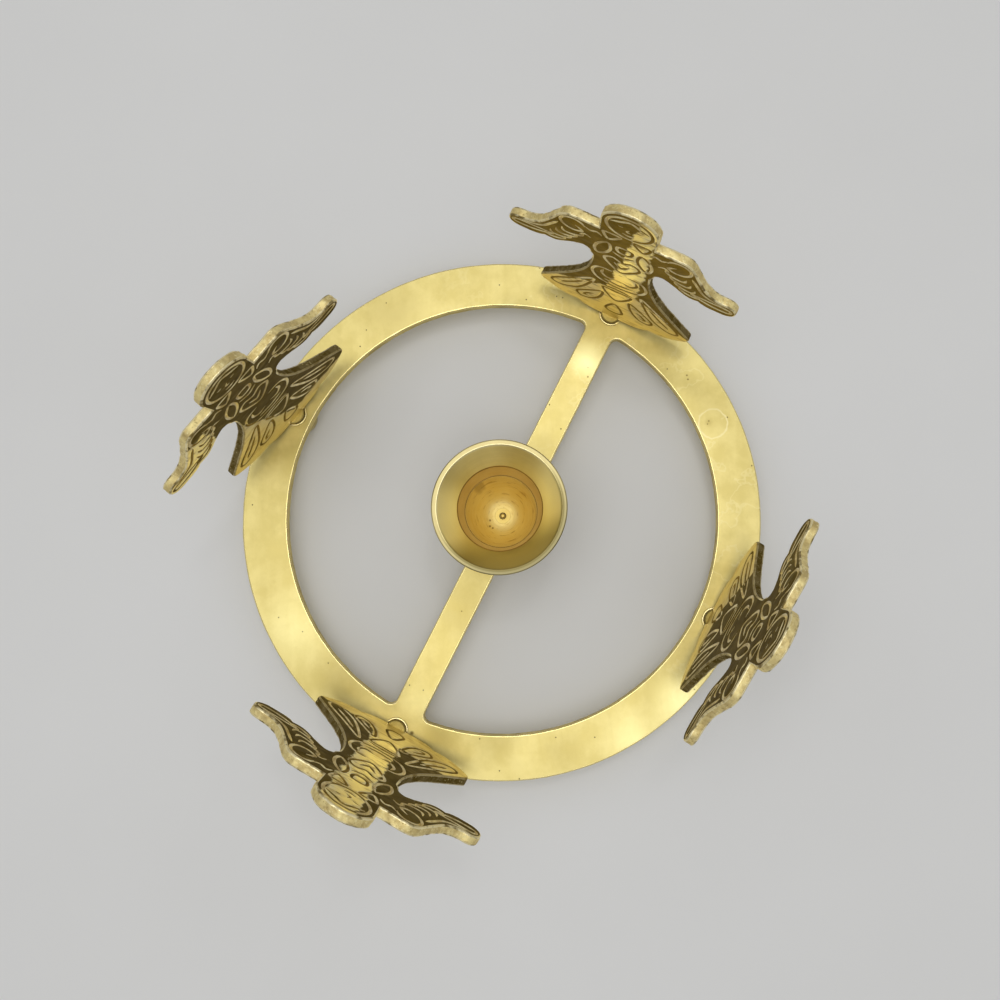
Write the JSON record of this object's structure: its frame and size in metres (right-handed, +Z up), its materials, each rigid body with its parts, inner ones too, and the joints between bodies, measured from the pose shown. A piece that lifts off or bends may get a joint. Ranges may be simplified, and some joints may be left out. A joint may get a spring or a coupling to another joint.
{
  "type": "candle ring",
  "caption": "Flat brass ring with a crossbar and a central candle cup, on turned feet, with upright cast angel plates round it that swivel on studs.",
  "frame": {"origin": "on the table plane that the feet stand on, under the centre of the candle cup", "axes": "+Z up through the cup, +X along the crossbar, +Y across it"},
  "size_m": [0.15, 0.15, 0.0896],
  "materials": {
    "ring_brass": "satin, brushed, lightly tarnished",
    "cup_brass": "turned, satin, amber tarnish inside",
    "screw_brass": "satin",
    "foot_brass": "turned, satin",
    "angel_brass": "cast, ground and polished faces with dark carved lines, rough edges"
  },
  "bodies": {
    "base": {"ring_plate": "ring_brass", "candle_cup": "cup_brass", "cup_screw": "screw_brass", "foot_1": "foot_brass", "foot_2": "foot_brass", "foot_3": "foot_brass", "foot_4": "foot_brass"},
    "angel_1": {"angel_1": "angel_brass"},
    "angel_2": {"angel_2": "angel_brass"},
    "angel_3": {"angel_3": "angel_brass"},
    "angel_4": {"angel_4": "angel_brass"}
  },
  "joints": [
    {"name": "angel_1_swivel", "type": "hinge", "parent": "base", "child": "angel_1", "pos_m": [0.06759, -0.00142, 0.0139], "axis": [0, 0, 1], "continuous": true},
    {"name": "angel_2_swivel", "type": "hinge", "parent": "base", "child": "angel_2", "pos_m": [-0.00071, 0.0676, 0.0139], "axis": [0, 0, 1], "continuous": true},
    {"name": "angel_3_swivel", "type": "hinge", "parent": "base", "child": "angel_3", "pos_m": [-0.0676, 0, 0.0139], "axis": [0, 0, 1], "continuous": true},
    {"name": "angel_4_swivel", "type": "hinge", "parent": "base", "child": "angel_4", "pos_m": [0.00035, -0.0676, 0.0139], "axis": [0, 0, 1], "continuous": true}
  ]
}
